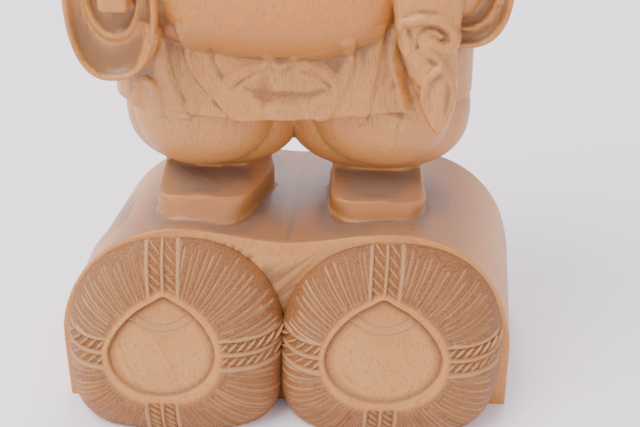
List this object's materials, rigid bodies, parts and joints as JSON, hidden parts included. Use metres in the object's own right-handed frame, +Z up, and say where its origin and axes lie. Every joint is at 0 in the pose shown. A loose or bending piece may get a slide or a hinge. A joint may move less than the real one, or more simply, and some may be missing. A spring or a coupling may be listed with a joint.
{
  "type": "daikoku statue",
  "caption": "Carved wooden figure of a round-bellied lucky god standing on two straw rice bales, with a mallet in one hand and a sack over the other shoulder.",
  "frame": {"origin": "middle of the flat underside of the bale base", "axes": "+X to the viewer's right, +Y away from the viewer (the figure faces -Y), +Z up"},
  "size_m": [0.2676, 0.1727, 0.4101],
  "materials": {
    "carved_wood": "satin"
  },
  "bodies": {
    "root": {"daikoku_statue": "carved_wood"}
  },
  "joints": []
}
